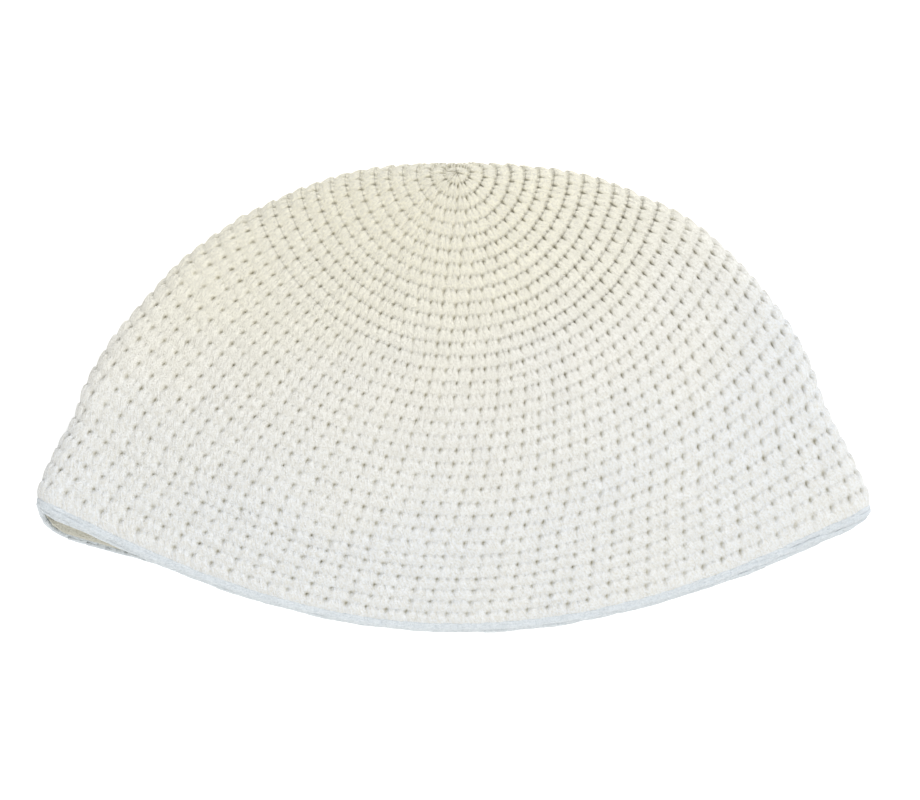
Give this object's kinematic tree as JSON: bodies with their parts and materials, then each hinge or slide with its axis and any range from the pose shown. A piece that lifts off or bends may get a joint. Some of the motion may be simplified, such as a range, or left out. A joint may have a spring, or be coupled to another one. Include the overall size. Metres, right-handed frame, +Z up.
{
  "type": "kippah skullcap",
  "caption": "Crocheted cotton skullcap folded flat on its side, hollow between its two layers and open at the mouth, with an edging worked round the mouth.",
  "frame": {"origin": "middle of the folded cap's footprint, on the surface that it lies on", "axes": "+Z up from the surface, +Y from the mouth to the crown, +X to the right as the upper layer is looked at"},
  "size_m": [0.262, 0.1464, 0.0224],
  "materials": {
    "cotton_knit": "matt cream cotton yarn in close single crochet",
    "cotton_edging": "matt white cotton yarn in a chain edging"
  },
  "bodies": {
    "root": {"crocheted_cap": "cotton_knit", "mouth_edging": "cotton_edging"}
  },
  "joints": []
}
